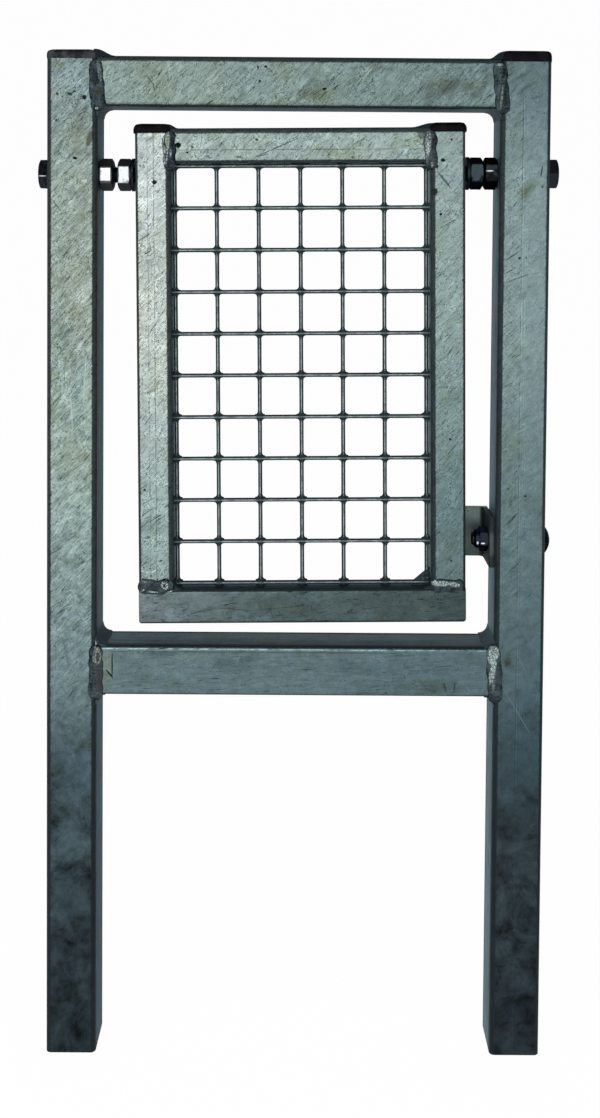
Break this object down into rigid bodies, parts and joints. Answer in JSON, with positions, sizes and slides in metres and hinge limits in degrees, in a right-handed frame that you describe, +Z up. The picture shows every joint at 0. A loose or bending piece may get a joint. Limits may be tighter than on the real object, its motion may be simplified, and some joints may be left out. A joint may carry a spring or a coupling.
{
  "type": "badger gate",
  "caption": "Galvanised steel badger gate: box-section frame with legs, and a top-hung one-way flap of welded mesh between two pivot bolts.",
  "frame": {"origin": "on the left post's back face, on its centre line, level with the underside of the sill rail (the ground line)", "axes": "+X to the right seen from the front, +Y to the back, +Z up"},
  "size_m": [0.3128, 0.0375, 0.609],
  "materials": {
    "galvanised_frame": "hot-dip galvanised, weathered to a dull grey-green with scratches",
    "galvanised_flap": "hot-dip galvanised, brighter than the frame",
    "weld_metal": "weld beads under zinc, rough and dark",
    "zinc_plate": "bright zinc plate on bolts and nuts",
    "dark_fixings": "dark, slightly glossy plate",
    "black_plastic": "black moulded plastic, dull"
  },
  "bodies": {
    "frame": {"left_post": "galvanised_frame", "right_post": "galvanised_frame", "top_rail": "galvanised_frame", "sill_rail": "galvanised_frame", "left_post_cap": "black_plastic", "right_post_cap": "black_plastic", "top_left_weld": "weld_metal", "top_right_weld": "weld_metal", "sill_left_weld": "weld_metal", "sill_right_weld": "weld_metal", "left_pivot_bolt": "zinc_plate", "right_pivot_bolt": "zinc_plate", "left_clamp_nut": "zinc_plate", "right_clamp_nut": "zinc_plate", "left_spacer_nut": "zinc_plate", "right_spacer_nut": "zinc_plate", "left_spacer_washer": "zinc_plate", "right_spacer_washer": "zinc_plate", "stop_bracket": "galvanised_frame", "stop_bolt": "dark_fixings", "stop_nut": "dark_fixings"},
    "flap": {"left_stile": "galvanised_flap", "right_stile": "galvanised_flap", "flap_top_rail": "galvanised_flap", "flap_bottom_rail": "galvanised_flap", "left_stile_cap": "black_plastic", "right_stile_cap": "black_plastic", "mesh_panel": "galvanised_flap", "mesh_tacks": "weld_metal", "flap_top_left_weld": "weld_metal", "flap_top_right_weld": "weld_metal", "flap_bottom_left_weld": "weld_metal", "flap_bottom_right_weld": "weld_metal"}
  },
  "joints": [
    {"name": "flap_swing", "type": "hinge", "parent": "frame", "child": "flap", "pos_m": [0.136, -0.015, 0.315], "axis": [0.9999, 0, 0.0122], "range_deg": [-137, 1.75]}
  ]
}
